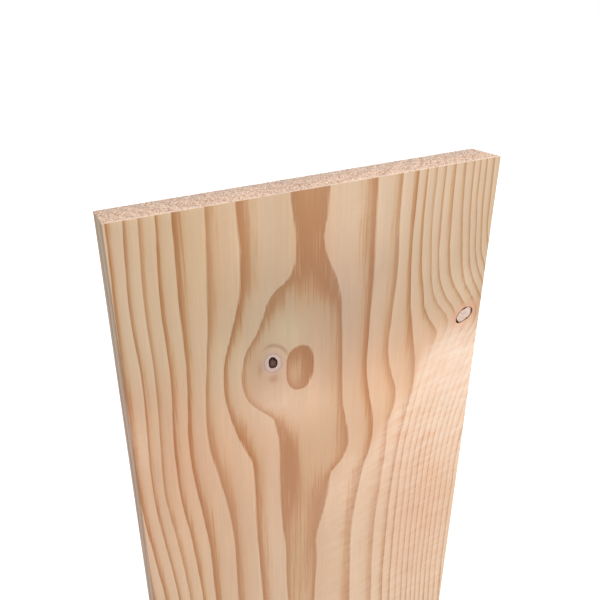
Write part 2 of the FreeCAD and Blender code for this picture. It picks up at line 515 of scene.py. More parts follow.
@dataclass(frozen=True)
class GrowthRings:
    """The tree's growth rings, as a number that rises by one from the outer edge of each ring to the next.

    The lines are drawn on the front face down to the drop called drawn. Below it they follow a trunk that
    swells evenly towards its foot, and behind the face each ring is an arc about the pith.
    """

    lines: tuple[RingLine, ...] = LEFT_LINES + RIGHT_LINES
    pith_across: float = 86.0
    pith_depth: float = 60.0
    inner_ring: float = 7.5
    left_ring: float = 6.6
    right_ring: float = 3.9
    drawn: float = 250.0
    drawn_gap: float = 16.1
    # How square the dome of wood in the middle of the face becomes over these drops. Above them it is round.
    dome_power: float = 4.0
    dome_run: tuple[float, float] = (44, 72)
    trunk_taper: float = 0.011
    sway: float = 2.6
    sway_length: float = 520.0
    # How many rings the middle of the face lies inside its innermost line, by drop.
    cut: tuple[tuple[float, float], ...] = (
        (0, 0.13), (20, 0.08), (36, 0.12), (44, 0.3), (54, 0.46), (66, 0.56), (100, 0.62), (125, 0.52),
        (145, 0.42), (165, 0.3), (185, 0.27), (250, 0.3),
    )
    swells: tuple[Spot, ...] = (
        Spot(77, 144, 8, 27, 0.5),
        Spot(70, 48, 9, 8, 0.12),
        Spot(96, 46, 9, 12, 0.16),
        Spot(96, 182, 6, 24, 0.16),
        Spot(107, 134, 5, 14, 0.1),
    )
    # How steeply the rings rise for each millimetre just inside the lines that bound the middle, and how far.
    edge_rise: float = 0.08
    brink: float = 0.05
    island: RingIsland = RingIsland(84.3, 86.2, 7.3, 12.2, -1, 2.5, 0.42, Spot(81.2, 88.6, 4.8, 8.6, 0.22))

    def line_places(self, drop: np.ndarray) -> np.ndarray:
        """Find where every line lies at each drop.

        Args:
            drop: Distance of each place below the top end.

        Returns:
            Distance from the left side, one row for each place and one column for each line.
        """
        below = np.maximum(drop - self.drawn, 0)
        shift = self.pith_across + self.sway * np.sin(below * 2 * math.pi / self.sway_length)
        columns = []
        for line in self.lines:
            run = line.across_at(np.minimum(drop, self.drawn)) - self.pith_across
            radius = np.hypot(run, self.pith_depth) + self.trunk_taper * below
            grown = line.side.value * np.sqrt(radius**2 - self.pith_depth**2)
            columns.append(shift + np.where(below > 0, grown, run))
        return np.stack(columns, axis=1)

    def on_face(self, across: np.ndarray, drop: np.ndarray) -> np.ndarray:
        """Give the ring number at places on the front face.

        Args:
            across: Distance of each place from the left side.
            drop: Distance of each place below the top end.

        Returns:
            The ring number, negative between the two innermost lines.
        """
        places = self.line_places(drop)
        numbers = np.array([line.ring for line in self.lines], dtype=float)
        passed = (across[:, None] > places).sum(axis=1)
        lower = np.clip(passed - 1, 0, len(numbers) - 1)
        upper = np.clip(passed, 0, len(numbers) - 1)
        row = np.arange(len(across))
        left, right = places[row, lower], places[row, upper]
        share = (across - left) / np.maximum(right - left, 1e-6)
        rings = numbers[lower] + np.clip(share, 0, 1) * (numbers[upper] - numbers[lower])

        middle = passed == sum(line.side is Side.LEFT for line in self.lines)
        cut = smooth_path(self.cut, np.minimum(drop, self.drawn))
        arch = ((right - left) ** 2 - self.drawn_gap**2) / (8 * self.pith_depth * self.inner_ring)
        cut = cut + np.where(drop > self.drawn, arch, 0)
        power = 2 + (self.dome_power - 2) * soft_step(*self.dome_run, drop)
        dome = sum_of(self.swells, across, drop) - cut * (1 - np.abs(2 * share - 1) ** power)
        brink = np.minimum(np.minimum(across - left, right - across) * self.edge_rise, self.brink)
        rings = np.where(middle, np.minimum(dome, -brink), rings)
        rings = np.where(passed == 0, numbers[0] + (right - across) / self.left_ring, rings)
        beyond = passed == len(numbers)
        rings = np.where(beyond, numbers[-1] + (across - left) / self.right_ring, rings)
        return self.with_island(rings, across, drop, middle)

    def with_island(self, rings: np.ndarray, across: np.ndarray, drop: np.ndarray,
                    middle: np.ndarray) -> np.ndarray:
        """Lay the closed ring line beside the centre knot over the rest.

        Args:
            rings: Ring numbers without it.
            across: Distance of each place from the left side.
            drop: Distance of each place below the top end.
            middle: True between the two innermost lines.

        Returns:
            The ring numbers with it.
        """
        island = self.island
        gauge = island.gauge(across, drop)
        rim = np.minimum((1 - gauge) * island.rim, island.lip) + island.lip * (1 - gauge**2)
        inside = island.ring - rim - island.hollow.at(across, drop) * (1 - gauge**8)
        share = np.clip((gauge - 1) / island.margin, 0, 1)
        outside = island.ring + (rings - island.ring) * share
        return np.where(gauge < 1, inside, np.where(middle, outside, rings))

    def in_wood(self, across: np.ndarray, depth: np.ndarray, drop: np.ndarray) -> np.ndarray:
        """Give the ring number anywhere in the board.

        Args:
            across: Distance of each place from the left side.
            depth: Distance behind the front face.
            drop: Distance below the top end.

        Returns:
            The ring number: that of the place on the front face as far from the pith, or less for rings
            that lie too deep to reach it.
        """
        run = across - self.pith_across
        radius = np.hypot(run, self.pith_depth - depth)
        reach = np.sqrt(np.maximum(radius**2 - self.pith_depth**2, 0))
        deep = np.maximum(self.pith_depth - radius, 0) / self.inner_ring
        return self.on_face(self.pith_across + np.sign(run) * reach, drop) - deep


# ---------------------------------------------------------------------------------------------------------
# Branches: the knots' shape, shared by the board's bores, the bark and the plugs
# ---------------------------------------------------------------------------------------------------------


class Face(Enum):
    """The two planed faces that a branch runs out through."""

    FRONT = 0
    BACK = 1


@dataclass(frozen=True)
class Branch:
    """A dead branch that slants through the board, square to nothing.

    across and drop place its centre on the front face. turn is its plan angle from straight out of the front
    towards the right, and rise is how steeply it climbs, both in degrees. lobes are (waves, size, phase) of
    the bumps that keep its outline from being a true oval.
    """

    name: str
    across: float
    drop: float
    wood_radius: float
    bark_wall: float
    turn: float
    rise: float
    thickness: float = BOARD_THICKNESS
    taper: float = 1.0
    lobes: tuple[tuple[int, float, float], ...] = ()

    @property
    def axis(self) -> np.ndarray:
        """The branch's direction, outwards, as (across, depth, drop)."""
        turn, rise = math.radians(self.turn), math.radians(self.rise)
        flat = math.cos(rise)
        return np.array([math.sin(turn) * flat, -math.cos(turn) * flat, -math.sin(rise)])

    def centre(self, face: Face) -> np.ndarray:
        """Find where the branch's middle meets a face, as (across, depth, drop)."""
        depth = face.value * self.thickness
        return np.array([self.across, 0.0, self.drop]) - self.axis * (depth / -self.axis[1])

    def rim(self, face: Face, angles: np.ndarray, extra: float | np.ndarray = 0.0) -> np.ndarray:
        """Trace the branch's outline where it meets a face.

        Args:
            face: The face.
            angles: Directions from the centre, anticlockwise from the right as seen from the front.
            extra: Thickness added round the branch wood, such as its bark.

        Returns:
            One (across, depth, drop) point for each angle.
        """
        centre = self.centre(face)
        ray = np.stack([np.cos(angles), np.zeros_like(angles), -np.sin(angles)], axis=1)
        slope = math.tan(math.radians(self.taper))
        along = ray @ self.axis
        radius = self.wood_radius + extra - slope * face.value * self.thickness / -self.axis[1]
        square = 1 - along**2 * (1 + slope**2)
        half = radius * slope * along
        reach = (half + np.sqrt(half**2 + square * radius**2)) / square
        for waves, size, phase in self.lobes:
            reach = reach * (1 + size * np.sin(waves * angles + phase))
        return centre + ray * reach[:, None]

    def clearance(self, across: np.ndarray, depth: np.ndarray, drop: np.ndarray) -> np.ndarray:
        """Measure how far places lie outside the branch's bark, square to the branch.

        Args:
            across: Distance of each place from the left side.
            depth: Distance behind the front face.
            drop: Distance below the top end.

        Returns:
            The distance, negative within the bark.
        """
        offset = np.stack([across - self.across, depth, drop - self.drop], axis=1)
        run = offset @ self.axis
        return np.linalg.norm(offset - run[:, None] * self.axis, axis=1) - self.wood_radius - self.bark_wall


# ---------------------------------------------------------------------------------------------------------
# Meshes
# ---------------------------------------------------------------------------------------------------------


def lattice_noise(x: np.ndarray, y: np.ndarray, grain: float, seed: int) -> np.ndarray:
    """Read smooth seeded noise.

    Args:
        x: First measure of each place.
        y: Second measure of each place.
        grain: Size of one lump.
        seed: Which noise.

    Returns:
        Values from 0 to 1.
    """
    size = 64
    table = np.random.default_rng(seed).random((size, size))
    column, row = np.floor(x / grain).astype(int), np.floor(y / grain).astype(int)
    s, t = soft_step(0, 1, x / grain - column), soft_step(0, 1, y / grain - row)
    near, far = (
        table[column % size, beside % size] * (1 - s) + table[(column + 1) % size, beside % size] * s
        for beside in (row, row + 1)
    )
    return near * (1 - t) + far * t


@dataclass
class MeshDraft:
    """Points and faces gathered part by part, in carpenter's measures, before they become one mesh."""

    points: list[np.ndarray] = field(default_factory=list)
    faces: list[tuple[int, ...]] = field(default_factory=list)
    finishes: list[int] = field(default_factory=list)
    count: int = 0

    def add_points(self, points: np.ndarray) -> np.ndarray:
        """Add points.

        Args:
            points: (across, depth, drop) points, in an array of any shape.

        Returns:
            The points' numbers in the mesh, in the same shape.
        """
        numbers = np.arange(self.count, self.count + points.size // 3).reshape(points.shape[:-1])
        self.points.append(points.reshape(-1, 3))
        self.count += numbers.size
        return numbers

    def add_faces(self, corners: np.ndarray, finish: int = 0) -> None:
        """Add faces.

        Args:
            corners: Point numbers, one row for each face.
            finish: Which of the mesh's materials they take.
        """
        self.faces.extend(map(tuple, corners.tolist()))
        self.finishes.extend([finish] * len(corners))

    def join_rows(self, first: np.ndarray, second: np.ndarray, finish: int = 0) -> None:
        """Join two closed rows of points with four-cornered faces.

        Args:
            first: One row's point numbers.
            second: The other's, which runs beside it.
            finish: Which of the mesh's materials the faces take.
        """
        after_first, after_second = np.roll(first, -1), np.roll(second, -1)
        self.add_faces(np.stack([first, second, after_second, after_first], axis=1), finish)

    def add_grid(self, numbers: np.ndarray, finish: int = 0, keep: np.ndarray | None = None) -> None:
        """Fill a sheet of points with faces that look towards whoever sees its rows run down and right.

        Args:
            numbers: Point numbers by row and column.
            finish: Which of the mesh's materials the faces take.
            keep: Which cells are filled, or all of them.
        """
        upper, lower = numbers[:-1], numbers[1:]
        corners = np.stack([upper[:, :-1], lower[:, :-1], lower[:, 1:], upper[:, 1:]], axis=-1)
        self.add_faces(corners[keep] if keep is not None else corners.reshape(-1, 4), finish)


@dataclass(frozen=True)
class BoardPlace:
    """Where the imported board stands, from which every place on it is measured."""

    left: float
    front: float
    top: float

    @classmethod
    def of_node(cls, node: str) -> BoardPlace:
        """Read the place from a CAD node's box."""
        low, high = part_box(node)
        return cls(low[0], low[1], high[2])

    def in_frame(self, places: np.ndarray) -> np.ndarray:
        """Turn (across, depth, drop) places in millimetres into points of the shared frame in metres."""
        return np.array([self.left, self.front, self.top]) + places * np.array([MM, MM, -MM])

    def make(self, name: str, draft: MeshDraft, finishes: Sequence[bpy.types.Material],
             readings: Mapping[str, np.ndarray]) -> bpy.types.Object:
        """Make an object of a draft.

        Args:
            name: The object's name.
            draft: Its points and faces.
            finishes: Its materials, in the order that the faces count them.
            readings: Named values at each point, for the materials to read.

        Returns:
            The object, linked to the scene.
        """
        mesh = bpy.data.meshes.new(name)
        mesh.from_pydata(self.in_frame(np.concatenate(draft.points)).tolist(), [], draft.faces)
        for finish in finishes:
            mesh.materials.append(finish)
        mesh.polygons.foreach_set("material_index", draft.finishes)
        for label, values in readings.items():
            layer = mesh.attributes.new(name=label, type="FLOAT", domain="POINT")
            layer.data.foreach_set("value", values.astype(np.float32))
        mesh.update()
        piece = bpy.data.objects.new(name, mesh)
        bpy.context.collection.objects.link(piece)
        return piece


# ---------------------------------------------------------------------------------------------------------
# The board
# ---------------------------------------------------------------------------------------------------------


@dataclass(frozen=True)
class Patch:
    """A block of a face's cells that is cut out and filled again with rings of cells round a branch."""

    branch: Branch
    columns: int
    rows: int = 14
    layers: int = 7

    @property
    def around(self) -> int:
        """How many points run round it."""
        return 2 * (self.columns + self.rows)

    def border(self, sheet: np.ndarray, row: int, column: int) -> np.ndarray:
        """List the numbers of the points round it, clockwise as seen from outside, from its top left."""
        down, right = row + self.rows, column + self.columns
        return np.concatenate([
            sheet[row, column:right],
            sheet[row:down, right],
            sheet[down, right:column:-1],
            sheet[down:row:-1, column],
        ])


@dataclass(frozen=True)
class SawMarks:
    """What a saw leaves on end grain: fuzz of two sizes, torn pits and the teeth's curved lines.

    Sizes are in millimetres, and fuzz is (height, lump) pairs. pit_edge is what the pits' noise reads where
    they start and where they are full.
    """

    least: float = 0.01
    fuzz: tuple[tuple[float, float], ...] = ((0.05, 0.9), (0.07, 2.6))
    pit_depth: float = 0.32
    pit_lump: float = 1.3
    pit_edge: tuple[float, float] = (0.66, 0.95)
    line_depth: float = 0.03
    line_pitch: float = 2.3
    line_bow: float = 0.02
    line_middle: float = 4.0

    def depth_at(self, across: np.ndarray, depth: np.ndarray, seed: int) -> np.ndarray:
        """Say how far the sawn surface lies below its highest fibres.

        Args:
            across: Distance of each place from the left side.
            depth: Distance behind the front face.
            seed: Which end's noise.

        Returns:
            The distance at each place.
        """
        sunk = self.least
        for number, (height, lump) in enumerate(self.fuzz):
            sunk = sunk + height * lattice_noise(across, depth, lump, seed + number)
        pits = lattice_noise(across, depth, self.pit_lump, seed + len(self.fuzz))
        bowed = across + self.line_bow * (depth - self.line_middle) ** 2
        lines = 1 + np.sin(2 * math.pi * bowed / self.line_pitch)
        return sunk + self.pit_depth * soft_step(*self.pit_edge, pits) + self.line_depth * lines


@dataclass
class PlanedBoard:
    """The softwood board: four planed faces with crisp arrises, two sawn ends and a bore for each knot.

    Sizes are in millimetres. row_bands are (drop, step) pairs: the rows of cells are that far apart as far
    down as that drop.
    """

    branches: tuple[Patch, ...]
    width: float = 184.0
    thickness: float = BOARD_THICKNESS
    length: float = 914.0
    arris: float = 0.35
    end_arris: float = 0.25
    face_cells: int = 160
    edge_cells: int = 12
    row_bands: tuple[tuple[float, float], ...] = (
        (36, 1.8), (112, 1.1), (190, 1.6), (300, 2.6), (914, 5.0),
    )
    end_cells: int = 3
    end_inset: float = 0.2
    saw: SawMarks = SawMarks()
    # How many rings a knot lifts the wood at the back, how far off it is felt, and how much the fibres part
    # for it.
    knot_lift: float = 1.3
    knot_reach: float = 13.0
    fibre_bend: float = 0.85
    # How ragged the rings' edges are, for each ring that a millimetre across crosses, and the least and most.
    raggedness: float = 0.6
    ragged_least: float = 0.02
    ragged_most: float = 0.16
    # How far the fibres carry the rings' edges up and down, for each ring that a millimetre down crosses, and
    # the most.
    feathering: float = 2.0
    feather_most: float = 0.08
    # The seeds of the two sawn ends' roughness.
    top_seed: int = 11
    foot_seed: int = 47
    # The ring number where the feathering is full, where it begins at 0, and the island's gauge where it begins
    # and is full.
    feather_edge: float = -0.1
    island_clear: tuple[float, float] = (1.3, 2.0)
    # How much of the front's light and dark, painted light among it, shows on the back, and how much painted
    # shade darkens the sides.
    back_tone: float = 0.4
    painted_side_shade: float = 0.14
    rings: GrowthRings = GrowthRings()
    marks: FaceMarks = FaceMarks()

    def side_run(self, length: float, cells: int) -> np.ndarray:
        """Lay out the points of one side of the section, from the middle of one arris to that of the next.

        Args:
            length: How long the side is.
            cells: How many cells its flat part has.

        Returns:
            (along, inset) pairs.
        """
        turns = np.radians([45, 22.5])
        round_off = np.stack([self.arris * (1 - np.sin(turns)), self.arris * (1 - np.cos(turns))], axis=1)
        flat = np.linspace(self.arris, length - self.arris, cells + 1)
        return np.concatenate([
            round_off,
            np.stack([flat, np.zeros_like(flat)], axis=1),
            [[length - round_off[1, 0], round_off[1, 1]]],
        ])

    def section(self) -> np.ndarray:
        """Lay out the board's section.

        Returns:
            (across, depth) pairs, anticlockwise from above.
        """
        face = self.side_run(self.width, self.face_cells)
        edge = self.side_run(self.thickness, self.edge_cells)
        return np.concatenate([
            face,
            np.stack([self.width - edge[:, 1], edge[:, 0]], axis=1),
            np.stack([self.width - face[:, 0], self.thickness - face[:, 1]], axis=1),
            np.stack([edge[:, 1], self.thickness - edge[:, 0]], axis=1),
        ])

    def row_drops(self) -> np.ndarray:
        """Lay out the rows of points down the board.

        Returns:
            How far each row lies below the top end.
        """
        drops = [np.array([self.end_arris])]
        start = self.end_arris
        for end, step in self.row_bands:
            end = min(end, self.length - self.end_arris)
            cells = round((end - start) / step)
            drops.append(np.linspace(start, end, cells + 1)[1:])
            start = end
        return np.concatenate(drops)

    def bore(self, draft: MeshDraft, patch: Patch, sheet: np.ndarray,
             drops: np.ndarray) -> list[tuple[int, int]]:
        """Fill the cells round a branch on both faces, and line its bore.

        Args:
            draft: The mesh being drawn.
            patch: Which branch, and how large a block of cells.
            sheet: The point numbers of the board's faces by row and column.
            drops: How far below the top end each row lies.

        Returns:
            The (row, column) of the block's top left corner on each face.
        """
        section = np.concatenate(draft.points)[sheet[0], :2]
        corners, rims = [], []
        for face in Face:
            centre = patch.branch.centre(face)
            on_face = np.abs(section[:, 1] - face.value * self.thickness) < 1e-6
            columns = np.flatnonzero(on_face)
            middle = columns[np.argmin(np.abs(section[columns, 0] - centre[0]))]
            column = int(middle) - patch.columns // 2
            row = int(np.argmin(np.abs(drops - centre[2]))) - patch.rows // 2
            border = patch.border(sheet, row, column)
            places = np.concatenate(draft.points)[border]
            angles = np.arctan2(centre[2] - places[:, 2], places[:, 0] - centre[0])
            rim = patch.branch.rim(face, angles, patch.branch.bark_wall)
            outer = border
            for layer in range(1, patch.layers + 1):
                share = soft_step(-1, 1, np.array(layer / patch.layers)) * 2 - 1
                inner = draft.add_points(places + (rim - places) * share)
                draft.join_rows(outer, inner)
                outer = inner
            corners.append((row, column))
            rims.append(outer)
        front, back = rims
        mirrored = back[(patch.columns - np.arange(patch.around)) % patch.around]
        draft.join_rows(front, mirrored)
        return corners

    def end_surface(self, border: np.ndarray) -> np.ndarray:
        """Spread a fine sheet of points over a sawn end.

        Args:
            border: The (across, depth) pairs of the section.

        Returns:
            (across, depth) pairs by row and column. The first row runs along the front.
        """
        shrink = 1 - 2 * self.end_inset / np.array([self.width, self.thickness])
        inset = self.end_inset + border * shrink
        steps = np.arange(self.end_cells)[:, None] / self.end_cells
        onwards = np.roll(inset, -1, axis=0) - inset
        fine = (inset[:, None] + onwards[:, None] * steps).reshape(-1, 2)
        wide, deep = ((cells + 4) * self.end_cells for cells in (self.face_cells, self.edge_cells))
        front, right = fine[:wide + 1], fine[wide:wide + deep + 1]
        back = fine[wide + deep:2 * wide + deep + 1][::-1]
        left = np.concatenate([fine[2 * wide + deep:], fine[:1]])[::-1]
        u, v = np.linspace(0, 1, wide + 1)[None, :, None], np.linspace(0, 1, deep + 1)[:, None, None]
        flat = (1 - v) * ((1 - u) * front[0] + u * front[-1]) + v * ((1 - u) * back[0] + u * back[-1])
        return (1 - v) * front + v * back + (1 - u) * left[:, None] + u * right[:, None] - flat

    def saw_end(self, draft: MeshDraft, border: np.ndarray, section: np.ndarray, top: bool) -> None:
        """Close one end of the board with its sawn surface.

        Args:
            draft: The mesh being drawn.
            border: The point numbers of the row next to the end.
            section: The (across, depth) pairs of that row.
            top: True for the top end.
        """
        sheet = self.end_surface(section)
        sunk = self.saw.depth_at(sheet[..., 0], sheet[..., 1], seed=self.top_seed if top else self.foot_seed)
        drop = sunk if top else self.length - sunk
        numbers = draft.add_points(np.concatenate([sheet, drop[..., None]], axis=-1))
        ring = np.concatenate([numbers[0, :-1], numbers[:-1, -1], numbers[-1, :0:-1], numbers[:0:-1, 0]])
        inner = [np.roll(ring, -k)[::self.end_cells] for k in range(self.end_cells + 1)]
        outer, after = border, np.roll(border, -1)
        near = np.stack([outer, inner[1], inner[0]], axis=1)
        far = np.stack([after, inner[3], inner[2]], axis=1)
        middle = np.stack([outer, after, inner[2], inner[1]], axis=1)
        for corners in (near, far, middle):
            draft.add_faces(corners if top else corners[:, ::-1], finish=1)
        draft.add_grid(numbers[::-1] if top else numbers, finish=1)

    def draw(self) -> MeshDraft:
        """Draw the whole board.

        Returns:
            Its mesh.
        """
        draft = MeshDraft()
        section, drops = self.section(), self.row_drops()
        places = np.empty((len(drops), len(section), 3))
        places[..., :2] = section
        places[..., 2] = drops[:, None]
        numbers = draft.add_points(places)
        sheet = np.concatenate([numbers, numbers[:, :1]], axis=1)
        keep = np.ones((len(drops) - 1, len(section)), dtype=bool)
        for patch in self.branches:
            for row, column in self.bore(draft, patch, sheet, drops):
                keep[row:row + patch.rows, column:column + patch.columns] = False
        draft.add_grid(sheet, keep=keep)
        self.saw_end(draft, numbers[0], section, top=True)
        self.saw_end(draft, numbers[-1], section, top=False)
        return draft

    def figure(self, places: np.ndarray) -> dict[str, np.ndarray]:
        """Read the wood's figure.

        Args:
            places: (across, depth, drop) of every point.

        Returns:
            The named values that the wood's finishes read at each point.
        """
        across, depth, drop = places.T
        rings = self.rings
        ring = rings.in_wood(across, depth, drop)
        fibre = across.copy()
        readings = {}
        for patch in self.branches:
            branch = patch.branch
            clear = branch.clearance(across, depth, drop)
            ring = ring - self.knot_lift * np.exp(-((clear / self.knot_reach) ** 2)) * depth / self.thickness
            middle = branch.across + branch.axis[0] / branch.axis[1] * depth
            spread = branch.wood_radius + branch.bark_wall + np.maximum(clear, 0)
            fibre -= (across - middle) * self.fibre_bend * (branch.wood_radius / spread) ** 2
            readings[f"{branch.name}_clear"] = np.minimum(clear, self.knot_reach)
        half = 0.5
        beside = rings.in_wood(across + half, depth, drop) - rings.in_wood(across - half, depth, drop)
        below = rings.in_wood(across, depth, drop + half) - rings.in_wood(across, depth, drop - half)
        # Only the middle of the face is feathered, clear of the island.
        inside = soft_step(0, self.feather_edge, ring)
        feathered = inside * soft_step(*self.island_clear, rings.island.gauge(across, drop))
        readings[Figure.RING.value] = ring
        readings[Figure.FIBRE.value] = fibre
        readings[Figure.STEEP.value] = np.clip(
            self.raggedness * np.abs(beside), self.ragged_least, self.ragged_most)
        readings[Figure.FEATHER.value] = (
            np.clip(self.feathering * np.abs(below), 0, self.feather_most) * feathered
        )
        for label, values in self.marks.read(across, drop).items():
            readings[label] = readings.get(label, 0) + values
        # The painted sheen fades towards the back, the front's painted light and tone weaken there, and painted
        # shade darkens the sides.
        front = soft_step(self.thickness, 0, depth)
        readings[Figure.SHEEN.value] *= front
        side = soft_step(self.arris, 0, np.minimum(across, self.width - across))
        marked = readings[Figure.TONE.value] - self.marks.tone
        kept = self.back_tone + (1 - self.back_tone) * front
        readings[Figure.TONE.value] = (self.marks.tone + marked * kept) * (1 - self.painted_side_shade * side)
        return readings

    def build(self, place: BoardPlace, finishes: Sequence[bpy.types.Material]) -> None:
        """Build the board over its CAD node.

        Args:
            place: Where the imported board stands.
            finishes: The planed finish, then the sawn one.
        """
        draft = self.draw()
        piece = place.make("planed_board", draft, finishes, self.figure(np.concatenate(draft.points)))
        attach(piece, BODY)
        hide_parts("board")
        LOG.info("built %s with %d faces", piece.name, len(draft.faces))


# ---------------------------------------------------------------------------------------------------------
# The knots
# ---------------------------------------------------------------------------------------------------------


@dataclass(frozen=True)
class BarkSwell:
    """A thicker or thinner stretch of bark. angle, anticlockwise from the right, and width are in degrees."""

    angle: float
    width: float
    amount: float

    def at(self, angles: np.ndarray) -> np.ndarray:
        """Give the extra thickness at each direction, in radians from the right."""
        away = (angles - math.radians(self.angle) + math.pi) % (2 * math.pi) - math.pi
        return self.amount * np.exp(-((away / math.radians(self.width)) ** 2))


@dataclass(frozen=True)
class DeadKnot:
    """A dead branch's stub with the bark it was grown over in: a plug of knot wood in a dark sleeve.

    Sizes are in millimetres. flush is how far the wood lies below the face at least, and dome how much
    further it does at its edge than in its middle. check is the direction of its drying crack in degrees, and
    check_width and check_start are shares of its radius. The bark lies bark_flush below the face at least,
    and up to sunk further where it has crumbled. least_wall is in millimetres, and most_wall is a share of
    the wood's radius.
    """

    branch: Branch
    swells: tuple[BarkSwell, ...]
    slot: str
    wood: KnotWood
    usual_wall: float
    rough_wall: float = 0.22
    rough_lumps: float = 9.0
    least_wall: float = 0.12
    most_wall: float = 0.6
    flush: float = 0.02
    dome: float = 0.12
    fuzz: float = 0.05
    fuzz_lump: float = 0.7
    check: float = 100.0
    check_depth: float = 0.35
    check_width: float = 0.05
    check_start: tuple[float, float] = (0.08, 0.3)
    bark_flush: float = 0.06
    sunk: float = 0.3
    crumb: float = 0.55
    crumb_least: float = 0.35
    rim_least: float = 0.3
    seed: int = 3
    sides: int = 96
    rings: int = 12
    bark_cells: int = 4

    def wall(self, angles: np.ndarray) -> np.ndarray:
        """Say how thick the bark is.

        Args:
            angles: Directions from the centre, anticlockwise from the right as seen from the front.

        Returns:
            The thickness at each direction.
        """
        wall = self.usual_wall + sum((swell.at(angles) for swell in self.swells), np.zeros_like(angles))
        x, y = (turned(angles) * self.rough_lumps + 20 for turned in (np.cos, np.sin))
        rough = lattice_noise(x, y, 1.0, self.seed) - 0.5
        most = self.branch.wood_radius * self.most_wall
        return np.clip(wall + self.rough_wall * rough, self.least_wall, most)

    def outlines(self, face: Face) -> tuple[np.ndarray, np.ndarray, np.ndarray]:
        """Trace the sleeve's inner and outer outline on a face.

        Args:
            face: The face.

        Returns:
            The directions, the inner outline and the outer one.
        """
        angles = np.linspace(0, 2 * math.pi, self.sides, endpoint=False)
        outer = self.branch.rim(face, angles, self.branch.bark_wall)
        inner = self.branch.rim(face, angles, self.branch.bark_wall - self.wall(angles))
        return angles, inner, outer

    def draw_plug(self) -> tuple[MeshDraft, dict[str, np.ndarray]]:
        """Draw the plug of knot wood.

        Returns:
            The mesh, and how far out each point lies, from 0 in the middle to 1 at the bark.
        """
        draft = MeshDraft()
        shares, rows = [], []
        for face in Face:
            angles, rim, _ = self.outlines(face)
            centre = self.branch.centre(face)
            inward = 1 if face is Face.FRONT else -1
            rows.append([])
            for step in range(1, self.rings + 1):
                share = step / self.rings
                places = centre + (rim - centre) * share
                away = (angles - math.radians(self.check) + math.pi) % (2 * math.pi) - math.pi
                crack = np.exp(-((away * share / self.check_width) ** 2))
                crack = crack * soft_step(*self.check_start, np.array(share))
                grain = lattice_noise(places[:, 0], places[:, 2], self.fuzz_lump, self.seed + 1)
                sunk = self.flush + self.dome * share**3 + self.fuzz * grain + self.check_depth * crack
                places[:, 1] += inward * sunk
                rows[-1].append(draft.add_points(places))
                shares.append(np.full(self.sides, share))
        for face, sheets in zip(Face, rows):
            for inner, outer in zip(sheets, sheets[1:]):
                first, second = (inner, outer) if face is Face.FRONT else (outer, inner)
                draft.join_rows(first, second)
        draft.join_rows(rows[0][-1], rows[1][-1])
        draft.add_faces(np.stack([rows[0][0], rows[1][0][::-1]]))
        return draft, {KnotFigure.SHARE.value: np.concatenate(shares)}

    def draw_sleeve(self) -> tuple[MeshDraft, dict[str, np.ndarray]]:
        """Draw the bark round the plug.

        Returns:
            The mesh, and how thick the bark is at each point.
        """
        draft = MeshDraft()
        rows, walls = [], []
        for face in Face:
            angles, inner, outer = self.outlines(face)
            inward = 1 if face is Face.FRONT else -1
            rows.append([])
            for step in range(self.bark_cells + 1):
                share = step / self.bark_cells
                places = inner + (outer - inner) * share
                crumble = lattice_noise(places[:, 0], places[:, 2], self.crumb, self.seed + 5)
                crumble = self.crumb_least + (1 - self.crumb_least) * crumble
                hollow = self.rim_least + (1 - self.rim_least) * 4 * share * (1 - share)
                places[:, 1] += inward * (self.bark_flush + self.sunk * crumble * hollow)
                rows[-1].append(draft.add_points(places))
                walls.append(self.wall(angles))
        front, back = rows
        for first, second in zip(front, front[1:]):
            draft.join_rows(first, second)
        for first, second in zip(back, back[1:]):
            draft.join_rows(second, first)
        draft.join_rows(front[-1], back[-1])
        draft.join_rows(back[0], front[0])
        return draft, {KnotFigure.WALL.value: np.concatenate(walls)}

    def build(self, place: BoardPlace, bark: bpy.types.Material) -> None:
        """Build the plug and its sleeve over their CAD nodes.

        Args:
            place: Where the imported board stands.
            bark: The sleeve's finish.
        """
        for ending, (draft, readings), finish, slot in (
            ("", self.draw_plug(), self.wood.make(), self.slot),
            ("_bark", self.draw_sleeve(), bark, "knot_bark"),
        ):
            piece = place.make(f"{self.branch.name}_piece{ending}", draft, [finish], readings)
            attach(piece, BODY)
            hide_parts(f"{self.branch.name}{ending}")
            LOG.info("built %s with %d faces", piece.name, len(draft.faces))


# ---------------------------------------------------------------------------------------------------------
# Finishes
# ---------------------------------------------------------------------------------------------------------


def linear(colour: str) -> tuple[float, float, float, float]:
    """Turn an sRGB hex colour into linear values.

    Args:
        colour: The colour, such as "#e0c4a5".

    Returns:
        Linear red, green and blue, and full opacity.
    """
    parts = (int(colour[start:start + 2], 16) / 255 for start in (1, 3, 5))
    red, green, blue = (
        part / 12.92 if part <= 0.04045 else ((part + 0.055) / 1.055) ** 2.4 for part in parts
    )
    return red, green, blue, 1.0


def add_node(tree: bpy.types.NodeTree, kind: str, feeds: Mapping[str | int, object] | None = None,
             stops: Sequence[tuple[float, str]] = (), **settings: object) -> bpy.types.Node:
    """Add a shader node with its settings and links.

    Args:
        tree: The material's or the world's node tree.
        kind: The node's Blender type, without the word ShaderNode.
        feeds: By input, the value or hex colour it holds, or the node or output socket that feeds it.
        stops: The (share, hex colour) stops of a colour ramp.
        settings: Properties of the node itself.

    Returns:
        The node.
    """
    node = tree.nodes.new(f"ShaderNode{kind}")
    for key, value in settings.items():
        setattr(node, key, value)
    for key, value in (feeds or {}).items():
        if isinstance(value, bpy.types.Node):
            value = next(socket for socket in value.outputs if socket.enabled)
        if isinstance(value, bpy.types.NodeSocket):
            tree.links.new(value, node.inputs[key])
        else:
            node.inputs[key].default_value = linear(value) if isinstance(value, str) else value
    for _ in stops[2:]:
        node.color_ramp.elements.new(0.5)
    for number, (position, colour) in enumerate(stops):
        node.color_ramp.elements[number].position = position
        node.color_ramp.elements[number].color = linear(colour)
    return node


